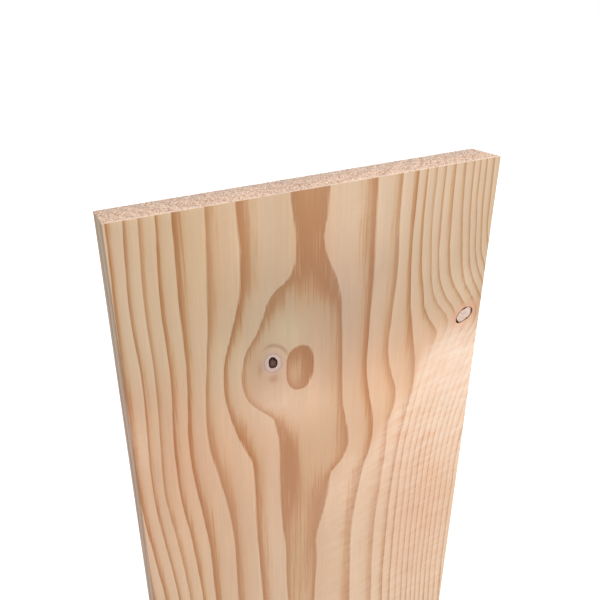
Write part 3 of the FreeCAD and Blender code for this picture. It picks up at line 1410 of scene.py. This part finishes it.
@dataclass(frozen=True)
class Finish:
    """What a surface is made of, and how it was made."""

    name: str

    def make(self) -> bpy.types.Material:
        """Make the material.

        Returns:
            The material, whose output is fed by the finish's own shader.
        """
        material = bpy.data.materials.new(self.name)
        material.use_nodes = True
        material.node_tree.nodes.clear()
        add = partial(add_node, material.node_tree)
        add("OutputMaterial", {"Surface": self.shade(add)})
        return material

    def shade(self, add: AddNode) -> bpy.types.Node:
        """Add the finish's nodes.

        Args:
            add: Adds a node to the material.

        Returns:
            The shader.
        """
        raise NotImplementedError


class Grain(Enum):
    """Noises that follow the grain: (across, deep, along) lumps in millimetres, slant in degrees and detail.

    Softwood's fibres are about 0.03 mm wide. The streaks are drawn as coarse as they have to be to show.
    """

    STREAKS = (0.9, 0.9, 55.0), 0.0, 3.0
    FINE = (0.35, 0.35, 14.0), 0.0, 2.0
    WAVER = (7.0, 7.0, 30.0), 0.0, 2.0
    RIPPLES = (60.0, 500.0, 1.3), 0.0, 1.0
    WISPS = (9.0, 6.0, 2.3), -18.0, 2.0


@dataclass(frozen=True)
class PlanedSoftwood(Finish):
    """Softwood planed by a machine and left bare."""

    # Each ring runs from pale earlywood to a narrow orange-tan band of latewood, which ends in a crisp line.
    # The planer leaves a dry satin surface with faint cross ripples, and the cut fibres show as fine streaks.
    name: str = "planed softwood, bare"
    ring_stops: tuple[tuple[float, str], ...] = (
        (0.0, "#d6b999"), (0.5, "#d2b393"), (0.7, "#cba883"), (0.8, "#bd9067"), (0.9, "#b07d52"),
        (0.96, "#aa754a"), (1.0, "#d0af8d"),
    )
    earlywood: str = "#d3b594"
    # The whiter colour that the painted glare and painted highlights mix in.
    sheen: str = "#fff0df"
    swelling: str = "#d3b399"
    collar: str = "#d8c1b5"
    collar_line: str = "#a9918b"
    arc: str = "#a07a63"
    blush: str = "#d9ab8a"
    stain: str = "#b07f5c"
    # How far outside the centre knot's bark the collar's line and the arc lie, and how far they wander, in
    # millimetres. The wandering has so many lumps a millimetre.
    line_distance: float = 1.9
    arc_distance: float = 5.4
    wander: float = 1.6
    wander_lumps: float = 0.35
    # How far the streaks and the waver carry a ragged edge.
    streak_carry: float = 0.36
    waver_carry: float = 1.2
    # How far the fine fibres and the streaks mix the colours within a ring.
    fine_mix: float = 2.0
    streak_mix: float = 3.0
    # How much of its contrast a ring has at least, and how much that varies from year to year.
    year_least: float = 0.75
    year_swing: float = 0.35
    tone_swings: tuple[tuple[Grain, float], ...] = (
        (Grain.STREAKS, 0.26), (Grain.FINE, 0.16), (Grain.WAVER, 0.12), (Grain.RIPPLES, 0.03),
    )
    # How the painted sheen breaks up: its least, which is below 0 so that gaps open in it, and its swing.
    wisp_least: float = -0.12
    wisp_swing: float = 1.25
    streak_relief: float = 0.6
    ripple_relief: float = 0.4
    relief: float = 0.12
    relief_depth: float = 0.1
    roughness: float = 0.52
    roughness_swing: float = 0.12
    ior: float = 1.36

    def shade(self, add: AddNode) -> bpy.types.Node:
        """Add the finish's nodes.

        Args:
            add: Adds a node to the material.

        Returns:
            The shader.
        """
        value = {figure: add("Attribute", attribute_name=figure.value).outputs["Fac"] for figure in Figure}
        noise = self.noises(add, value[Figure.FIBRE])
        colour = self.rings(add, value, noise)
        for amount, wash in self.washes(add, value):
            colour = add("Mix", {"Factor": amount, "A": colour, "B": wash}, data_type="RGBA")

        # This tone carries painted light and shade as well as the wood's own tone.
        tone = value[Figure.TONE]
        for grain, swing in self.tone_swings:
            step = add("Math", {0: noise[grain], 1: swing, 2: 1 - swing / 2}, operation="MULTIPLY_ADD")
            tone = add("Math", {0: tone, 1: step}, operation="MULTIPLY")
        tint = add("CombineXYZ", {"X": 1.0, "Y": value[Figure.GREEN], "Z": value[Figure.BLUE]})
        tinted = add("VectorMath", {0: colour, 1: tint}, operation="MULTIPLY")
        toned = add("VectorMath", {0: tinted, "Scale": tone}, operation="SCALE")

        # Painted glare: the colour is mixed in broken wisps towards the painted sheen's whiter colour, in place
        # of light.
        broken = add("Math", {0: noise[Grain.WISPS], 1: self.wisp_swing, 2: self.wisp_least},
                     operation="MULTIPLY_ADD")
        painted_glare = add("Math", {0: value[Figure.SHEEN], 1: broken}, operation="MULTIPLY", use_clamp=True)
        with_painted_sheen = add("Mix", {"Factor": painted_glare, "A": toned, "B": self.sheen}, data_type="RGBA")

        low = add("Math", {0: noise[Grain.RIPPLES], 1: self.ripple_relief}, operation="MULTIPLY")
        relief = add("Math", {0: noise[Grain.STREAKS], 1: self.streak_relief, 2: low},
                     operation="MULTIPLY_ADD")
        rough = add("Math", {0: noise[Grain.STREAKS], 1: self.roughness_swing,
                             2: self.roughness - self.roughness_swing / 2}, operation="MULTIPLY_ADD")
        return add("BsdfPrincipled", {
            "Base Color": with_painted_sheen,
            "Roughness": rough,
            "IOR": self.ior,
            "Normal": add("Bump", {"Height": relief, "Strength": self.relief,
                                   "Distance": self.relief_depth * MM}),
        })

    def noises(self, add: AddNode, fibre: bpy.types.NodeSocket) -> dict[Grain, bpy.types.NodeSocket]:
        """Add the noises that follow the fibres.

        Args:
            add: Adds a node to the material.
            fibre: How far across the fibre at each point lies, in millimetres.

        Returns:
            Each noise's output.
        """
        place = add("SeparateXYZ", {0: add("TexCoord").outputs["Object"]})
        across = add("Math", {0: fibre, 1: MM}, operation="MULTIPLY")
        along = add("CombineXYZ", {"X": across, "Y": place.outputs["Y"], "Z": place.outputs["Z"]})
        millimetres = add("VectorMath", {0: along, "Scale": 1 / MM}, operation="SCALE")
        noise = {}
        for grain in Grain:
            lumps, slant, detail = grain.value
            turned = add("Mapping", {"Vector": millimetres, "Rotation": (0, math.radians(slant), 0),
                                     "Scale": lumps}, vector_type="TEXTURE")
            noise[grain] = add("TexNoise", {"Vector": turned, "Scale": 1.0, "Detail": detail,
                                            "Roughness": 0.6}).outputs["Fac"]
        return noise

    def rings(self, add: AddNode, value: Mapping[Figure, bpy.types.NodeSocket],
              noise: Mapping[Grain, bpy.types.NodeSocket]) -> bpy.types.Node:
        """Add the rings' colours, which the fibres make a little ragged.

        Args:
            add: Adds a node to the material.
            value: The mesh's readings.
            noise: The noises that follow the fibres.

        Returns:
            The node that gives the colour.
        """
        thin = add("Math", {0: noise[Grain.STREAKS], 1: self.streak_carry,
                            2: -(self.streak_carry + self.waver_carry) / 2}, operation="MULTIPLY_ADD")
        unrest = add("Math", {0: noise[Grain.WAVER], 1: self.waver_carry, 2: thin}, operation="MULTIPLY_ADD")
        lines = add("Math", {0: unrest, 1: value[Figure.STEEP], 2: value[Figure.RING]},
                    operation="MULTIPLY_ADD")
        # From -1 to 1, up and down the grain.
        sway = add("Math", {0: noise[Grain.STREAKS], 1: 2.0, 2: -1.0}, operation="MULTIPLY_ADD")
        ring = add("Math", {0: sway, 1: value[Figure.FEATHER], 2: lines}, operation="MULTIPLY_ADD")
        share = add("Math", {0: ring}, operation="FRACT")
        rest = add("Math", {0: 1.0, 1: share}, operation="SUBTRACT")
        # The fibres mix the colours most in the middle of a ring, and not at its edges.
        fade = add("Math", {0: share, 1: rest}, operation="MULTIPLY")
        fine = add("Math", {0: noise[Grain.FINE], 1: self.fine_mix,
                            2: -(self.fine_mix + self.streak_mix) / 2}, operation="MULTIPLY_ADD")
        loose = add("Math", {0: noise[Grain.STREAKS], 1: self.streak_mix, 2: fine}, operation="MULTIPLY_ADD")
        fibrous = add("Math", {0: loose, 1: fade, 2: share}, operation="MULTIPLY_ADD")
        rings = add("ValToRGB", {"Fac": fibrous}, self.ring_stops)
        year = add("TexWhiteNoise", {"W": add("Math", {0: ring}, operation="FLOOR")}, noise_dimensions="1D")
        growth = add("Math", {0: year.outputs["Value"], 1: self.year_swing, 2: self.year_least},
                     operation="MULTIPLY_ADD")
        contrast = add("Math", {0: value[Figure.CONTRAST], 1: growth}, operation="MULTIPLY", use_clamp=True)
        return add("Mix", {"Factor": contrast, "A": self.earlywood, "B": rings}, data_type="RGBA")

    def washes(self, add: AddNode,
               value: Mapping[Figure, bpy.types.NodeSocket]) -> list[tuple[object, str]]:
        """Work out where the wood is greyed or stained round the knots.

        Args:
            add: Adds a node to the material.
            value: The mesh's readings.

        Returns:
            For each wash, what gives its strength, and its colour.
        """
        uneven = add("TexNoise", {"Vector": add("TexCoord").outputs["Object"],
                                  "Scale": self.wander_lumps / MM, "Detail": 1.0})
        wander = add("Math", {0: uneven, 1: self.wander, 2: -self.wander / 2}, operation="MULTIPLY_ADD")
        clear = value[Figure.CENTRE_CLEAR]
        centre = add("Math", {0: clear, 1: wander}, operation="ADD")
        on_line = add("Math", {0: centre, 1: self.line_distance}, operation="SUBTRACT")
        on_arc = add("Math", {0: clear, 1: self.arc_distance}, operation="SUBTRACT")
        beside_line = add("Math", {0: on_line}, operation="ABSOLUTE")
        beside_arc = add("Math", {0: on_arc}, operation="ABSOLUTE")
        washes = []
        # Each wash is full as far out as the first distance, gone at the second, and no stronger than most.
        for distance, full, none, most, colour in (
            (centre, 1.6, 5.0, 0.8, self.swelling),
            (centre, 1.4, 3.0, 0.8, self.collar),
            (beside_line, 0.1, 0.7, 0.5, self.collar_line),
            (beside_arc, 0.0, 1.4, 0.55, self.arc),
            (value[Figure.EDGE_CLEAR], 0.6, 4.2, 0.75, self.blush),
        ):
            near = add("MapRange", {"Value": distance, "From Min": full, "From Max": none, "To Min": most,
                                    "To Max": 0.0}, interpolation_type="SMOOTHSTEP")
            if distance is beside_arc:
                near = add("Math", {0: near, 1: value[Figure.ARC]}, operation="MULTIPLY")
            washes.append((near, colour))
        return [*washes, (value[Figure.STAIN], self.stain)]


@dataclass(frozen=True)
class SawnEndGrain(Finish):
    """The same softwood crosscut with a saw."""

    # The cut ends of the fibres scatter light, so it is paler than the planed face, with brown torn specks.
    # It is greyer in patches towards the back, and paler along its front edge.
    name: str = "sawn softwood end grain"
    pale: str = "#fae0cb"
    mid: str = "#dfb595"
    torn: str = "#8a5842"
    cold: str = "#ada39f"
    # A speck's size in millimetres, and what the specks' noise reads where torn, plain and pale wood begin.
    speck: float = 0.55
    speck_stops: tuple[float, float, float] = (0.38, 0.47, 0.57)
    speck_detail: float = 4.0
    speck_roughness: float = 0.72
    # Where a ring's latewood begins and is full, as shares of the ring.
    late_run: tuple[float, float] = (0.6, 0.95)
    # How much of the torn colour the latewood takes, the most grey towards the back, and the most pale along
    # the front edge.
    late_share: float = 0.22
    most_back_grey: float = 0.45
    most_pale_front: float = 0.6
    # How wide the pale front edge is, and how far behind the front the grey begins to thicken and is thickest,
    # all in millimetres. The gains are what that adds to the grey's noise at those two places.
    pale_front_width: float = 2.5
    back_grey_from: float = 7.5
    back_grey_to: float = 18.5
    back_grey_gains: tuple[float, float] = (-0.06, 0.14)
    # What the greying noise reads where grey begins and is full, and how coarse it is against the specks.
    back_grey_edge: tuple[float, float] = (0.48, 0.7)
    back_grey_scale: float = 0.35
    relief: float = 0.5
    relief_depth: float = 0.3
    roughness: float = 0.85

    def shade(self, add: AddNode) -> bpy.types.Node:
        """Add the finish's nodes.

        Args:
            add: Adds a node to the material.

        Returns:
            The shader.
        """
        spot = add("TexCoord").outputs["Object"]
        place = add("VectorMath", {0: spot, "Scale": 1 / MM / self.speck}, operation="SCALE")
        specks = add("TexNoise", {"Vector": place, "Scale": 1.0, "Detail": self.speck_detail,
                                  "Roughness": self.speck_roughness})
        stops = zip((*self.speck_stops, 1.0), (self.torn, self.mid, self.pale, self.pale))
        colour = add("ValToRGB", {"Fac": specks}, tuple(stops))
        ring = add("Attribute", attribute_name=Figure.RING.value).outputs["Fac"]
        share = add("Math", {0: ring}, operation="FRACT")
        late = add("MapRange", {"Value": share, "From Min": self.late_run[0], "From Max": self.late_run[1],
                                "To Max": self.late_share})
        # Greyer in patches towards the back, and paler along the front edge.
        behind = add("SeparateXYZ", {0: spot}).outputs["Y"]
        front = -BOARD_THICKNESS / 2
        back = add("MapRange", {"Value": behind, "From Min": (front + self.back_grey_from) * MM,
                                "From Max": (front + self.back_grey_to) * MM, "To Min": self.back_grey_gains[0],
                                "To Max": self.back_grey_gains[1]})
        back_grey_noise = add("TexNoise", {"Vector": place, "Scale": self.back_grey_scale, "Detail": 2.0})
        back_greying = add("Math", {0: back_grey_noise, 1: back}, operation="ADD")
        grey = add("MapRange", {"Value": back_greying, "From Min": self.back_grey_edge[0],
                                "From Max": self.back_grey_edge[1], "To Max": self.most_back_grey})
        worn = add("MapRange", {"Value": behind, "From Min": front * MM,
                                "From Max": (front + self.pale_front_width) * MM, "To Min": self.most_pale_front,
                                "To Max": 0.0})
        for amount, wash in ((late, self.torn), (grey, self.cold), (worn, self.pale)):
            colour = add("Mix", {"Factor": amount, "A": colour, "B": wash}, data_type="RGBA")
        # The board's tone brings its painted light and shade onto the end too.
        tone = add("Attribute", attribute_name=Figure.TONE.value).outputs["Fac"]
        return add("BsdfPrincipled", {
            "Base Color": add("VectorMath", {0: colour, "Scale": tone}, operation="SCALE"),
            "Roughness": self.roughness,
            "Normal": add("Bump", {"Height": specks, "Strength": self.relief,
                                   "Distance": self.relief_depth * MM}),
        })


@dataclass(frozen=True)
class KnotWood(Finish):
    """The hard wood of a dead branch, planed across its grain."""

    # Its own small rings show as closed lines about its middle, and it shines a little more than the board.
    heart: str
    outer: str
    line: str
    rings: float
    # The mottle's lumps a millimetre, how far it carries the rings, and how much it varies the tone.
    mottle: float = 0.9
    mottle_carry: float = 0.25
    mottle_swing: float = 0.4
    # Where a ring's dark line begins and is full, as shares of the ring, and how strong it is.
    late_run: tuple[float, float] = (0.55, 0.95)
    late_share: float = 0.45
    roughness: float = 0.45
    ior: float = 1.36

    def shade(self, add: AddNode) -> bpy.types.Node:
        """Add the finish's nodes.

        Args:
            add: Adds a node to the material.

        Returns:
            The shader.
        """
        share = add("Attribute", attribute_name=KnotFigure.SHARE.value).outputs["Fac"]
        noise = add("TexNoise", {"Vector": add("TexCoord").outputs["Object"], "Scale": self.mottle / MM,
                                 "Detail": 3.0})
        body = add("Mix", {"Factor": share, "A": self.heart, "B": self.outer}, data_type="RGBA")
        wandered = add("Math", {0: noise, 1: self.mottle_carry, 2: share}, operation="MULTIPLY_ADD")
        turns = add("Math", {0: wandered, 1: self.rings}, operation="MULTIPLY")
        turn = add("Math", {0: turns}, operation="FRACT")
        late = add("MapRange", {"Value": turn, "From Min": self.late_run[0], "From Max": self.late_run[1],
                                "To Max": self.late_share})
        ringed = add("Mix", {"Factor": late, "A": body, "B": self.line}, data_type="RGBA")
        tone = add("Math", {0: noise, 1: self.mottle_swing, 2: 1 - self.mottle_swing / 2},
                   operation="MULTIPLY_ADD")
        return add("BsdfPrincipled", {
            "Base Color": add("VectorMath", {0: ringed, "Scale": tone}, operation="SCALE"),
            "Roughness": self.roughness,
            "IOR": self.ior,
        })


@dataclass(frozen=True)
class KnotBark(Finish):
    """Dry bark round a dead knot, cut flush by the planer."""

    # Nearly black, crumbly and matt, and browner where it is thin.
    name: str = "dry knot bark, cut flush"
    dark: str = "#26160d"
    worn: str = "#8f623f"
    # A crumb's size in millimetres, and what the crumbs' noise reads where dark and worn bark begin.
    crumb: float = 0.6
    crumb_stops: tuple[float, float] = (0.45, 0.8)
    # Bark as thin as the first wall, in millimetres, adds the first gain to that, and thick bark the second.
    thin_walls: tuple[float, float] = (0.4, 0.9)
    thin_gains: tuple[float, float] = (0.42, -0.2)
    relief: float = 0.6
    relief_depth: float = 0.2
    roughness: float = 0.9
    specular: float = 0.15

    def shade(self, add: AddNode) -> bpy.types.Node:
        """Add the finish's nodes.

        Args:
            add: Adds a node to the material.

        Returns:
            The shader.
        """
        crumbs = add("TexNoise", {"Vector": add("TexCoord").outputs["Object"], "Scale": 1 / MM / self.crumb,
                                  "Detail": 3.0})
        wall = add("Attribute", attribute_name=KnotFigure.WALL.value).outputs["Fac"]
        thin = add("MapRange", {"Value": wall, "From Min": self.thin_walls[0],
                                "From Max": self.thin_walls[1], "To Min": self.thin_gains[0],
                                "To Max": self.thin_gains[1]})
        share = add("Math", {0: crumbs, 1: thin}, operation="ADD")
        stops = tuple(zip(self.crumb_stops, (self.dark, self.worn)))
        return add("BsdfPrincipled", {
            "Base Color": add("ValToRGB", {"Fac": share}, stops),
            "Roughness": self.roughness,
            "Specular IOR Level": self.specular,
            "Normal": add("Bump", {"Height": crumbs, "Strength": self.relief,
                                   "Distance": self.relief_depth * MM}),
        })


# ---------------------------------------------------------------------------------------------------------
# Studio and camera
# ---------------------------------------------------------------------------------------------------------


def seen_white(add: AddNode) -> bpy.types.Node:
    """Tell the rays that see the white background from those that carry light.

    Args:
        add: Adds a node to the material or world.

    Returns:
        A node that gives 1 for the rays that see it and 0 for the others.
    """
    path = add("LightPath")
    seen = add("Math", {0: path.outputs["Is Camera Ray"], 1: path.outputs["Is Glossy Ray"]},
               operation="MAXIMUM")
    return add("Math", {0: seen, 1: path.outputs["Is Transmission Ray"]}, operation="MAXIMUM")


@dataclass(frozen=True)
class StudioFloor(Finish):
    """Pale matt paint on a smooth floor."""

    # It takes the board's soft shadow, and glows more from near to far, in metres, so that no horizon shows.
    name: str = "pale matt studio floor"
    colour: str = "#ececec"
    near: tuple[float, float] = (0.8, 0.4)
    far: tuple[float, float] = (2.5, 0.66)
    roughness: float = 0.9

    def shade(self, add: AddNode) -> bpy.types.Node:
        """Add the finish's nodes.

        Args:
            add: Adds a node to the material.

        Returns:
            The shader.
        """
        away = add("VectorMath", {0: add("TexCoord").outputs["Object"]}, operation="LENGTH")
        whiter = add("MapRange", {"Value": away, "From Min": self.near[0], "From Max": self.far[0],
                                  "To Min": self.near[1], "To Max": self.far[1]})
        return add("BsdfPrincipled", {
            "Base Color": self.colour,
            "Roughness": self.roughness,
            "Emission Color": "#ffffff",
            "Emission Strength": add("Math", {0: seen_white(add), 1: whiter}, operation="MULTIPLY"),
        })


@dataclass(frozen=True)
class SoftLight:
    """A square soft light that faces the board.

    turn is its direction in plan from the front towards the right, and rise its height, both in degrees. away
    and size are in metres, and power in watts.
    """

    name: str
    turn: float
    rise: float
    power: float
    away: float = 3.0
    size: float = 2.0

    def hang(self, aim: Vector) -> None:
        """Hang the light.

        Args:
            aim: The point that it faces.
        """
        light = bpy.data.lights.new(self.name, "AREA")
        light.size = self.size
        light.energy = self.power
        turn, rise = math.radians(self.turn), math.radians(self.rise)
        outwards = Vector((math.sin(turn) * math.cos(rise), -math.cos(turn) * math.cos(rise), math.sin(rise)))
        lamp = bpy.data.objects.new(self.name, light)
        lamp.location = aim + outwards * self.away
        lamp.rotation_euler = outwards.to_track_quat("Z", "Y").to_euler()
        bpy.context.collection.objects.link(lamp)


@dataclass(frozen=True)
class PaleStudio:
    """A plain pale floor under soft light. floor_size is in metres."""

    floor_size: float = 14.0
    ambient: float = 0.5
    lights: tuple[SoftLight, ...] = (
        SoftLight("key", turn=32, rise=38, power=48),
        SoftLight("fill", turn=150, rise=35, power=30),
    )

    def light_world(self) -> None:
        """Fill the scene with even light from a world that looks white."""
        world = bpy.data.worlds.new("white studio")
        world.use_nodes = True
        world.node_tree.nodes.clear()
        add = partial(add_node, world.node_tree)
        strength = add("MapRange", {"Value": seen_white(add), "To Min": self.ambient, "To Max": 1.0})
        add("OutputWorld", {"Surface": add("Background", {"Color": "#ffffff", "Strength": strength})})
        bpy.context.scene.world = world

    def lay_floor(self, height: float) -> None:
        """Lay the floor.

        Args:
            height: The board's lowest point.
        """
        half = self.floor_size / 2
        mesh = bpy.data.meshes.new("floor")
        corners = [(x, y, height) for x, y in ((-half, -half), (half, -half), (half, half), (-half, half))]
        mesh.from_pydata(corners, [], [(0, 1, 2, 3)])
        mesh.materials.append(StudioFloor().make())
        floor = bpy.data.objects.new("floor", mesh)
        bpy.context.collection.objects.link(floor)
        floor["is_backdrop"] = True

    def build(self, low: Sequence[float], high: Sequence[float]) -> None:
        """Set the studio up round the board.

        Args:
            low: The lowest corner of the board's box.
            high: Its highest corner.
        """
        self.light_world()
        self.lay_floor(low[2])
        for light in self.lights:
            light.hang((Vector(low) + Vector(high)) / 2)
        bpy.context.scene.view_settings.view_transform = "Standard"


@dataclass(frozen=True)
class LowCloseCamera:
    """A camera held close to the board's top corner, looking down along it.

    aim_across and aim_drop are the place on the front face that it looks at, and distance is how far off it
    is, in millimetres. heading, down and roll are in degrees.
    """

    aim_across: float = 28.55
    aim_drop: float = 38.7
    distance: float = 264.8
    heading: float = 14.85
    down: float = 25.41
    roll: float = 5.08
    lens: float = 37.75
    shift: float = 0.2
    clip: tuple[float, float] = (0.01, 50.0)

    def place(self, board: BoardPlace) -> None:
        """Add the camera and make it the scene's own.

        Args:
            board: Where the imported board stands.
        """
        heading, down, roll = (math.radians(angle) for angle in (self.heading, self.down, self.roll))
        level = Vector((math.cos(heading), -math.sin(heading), 0))
        ahead = Vector((math.sin(heading), math.cos(heading), 0)) * math.cos(down)
        ahead.z = -math.sin(down)
        over = level.cross(ahead)
        right = level * math.cos(roll) - over * math.sin(roll)
        up = over * math.cos(roll) + level * math.sin(roll)
        aim = Vector(board.in_frame(np.array([self.aim_across, 0, self.aim_drop])))
        camera = bpy.data.cameras.new("camera")
        camera.lens = self.lens
        camera.shift_x = self.shift
        camera.clip_start, camera.clip_end = self.clip
        held = bpy.data.objects.new("camera", camera)
        turned = Matrix((right, up, -ahead)).transposed().to_4x4()
        turned.translation = aim - ahead * self.distance * MM
        held.matrix_world = turned
        bpy.context.collection.objects.link(held)
        bpy.context.scene.camera = held


# ---------------------------------------------------------------------------------------------------------
# The whole
# ---------------------------------------------------------------------------------------------------------


EDGE_KNOT = DeadKnot(
    branch=Branch("edge_knot", across=174.7, drop=78.5, wood_radius=2.9, bark_wall=0.7, turn=38, rise=27,
                  lobes=((2, 0.05, 1.0), (3, 0.04, 2.1), (5, 0.02, 0.0))),
    slot="edge_knot_wood",
    wood=KnotWood("dead branch wood, pale, planed", "#dcc6bc", "#e6ccbc", "#c4a28e", rings=3.0),
    usual_wall=0.5,
    swells=(BarkSwell(95, 24, 0.4), BarkSwell(20, 14, 0.3), BarkSwell(-50, 14, 0.25),
            BarkSwell(-138, 14, 0.25), BarkSwell(60, 12, -0.25), BarkSwell(-85, 16, -0.2)),
    check=150,
    seed=3,
)
CENTRE_KNOT = DeadKnot(
    branch=Branch("centre_knot", across=70.4, drop=80.3, wood_radius=1.8, bark_wall=0.6, turn=-12, rise=33,
                  lobes=((2, 0.07, -1.6), (3, 0.04, 2.1), (5, 0.02, 0.0))),
    slot="centre_knot_wood",
    wood=KnotWood("dead branch wood, dark, planed", "#6a4838", "#4a2f23", "#24150f", rings=2.0),
    usual_wall=0.75,
    swells=(BarkSwell(90, 50, 0.3),),
    check=70,
    check_depth=0.2,
    seed=8,
)


def main() -> None:
    """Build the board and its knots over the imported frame, and set the scene round them."""
    logging.basicConfig(level=logging.INFO, format="%(name)s: %(message)s")
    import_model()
    cad_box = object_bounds()
    place = BoardPlace.of_node("board")

    patches = (Patch(EDGE_KNOT.branch, columns=13), Patch(CENTRE_KNOT.branch, columns=14))
    PlanedBoard(patches).build(place, [PlanedSoftwood().make(), SawnEndGrain().make()])
    bark = KnotBark().make()
    for knot in (EDGE_KNOT, CENTRE_KNOT):
        knot.build(place, bark)
    PaleStudio().build(*cad_box)
    LowCloseCamera().place(place)


if __name__ == "__main__":
    main()
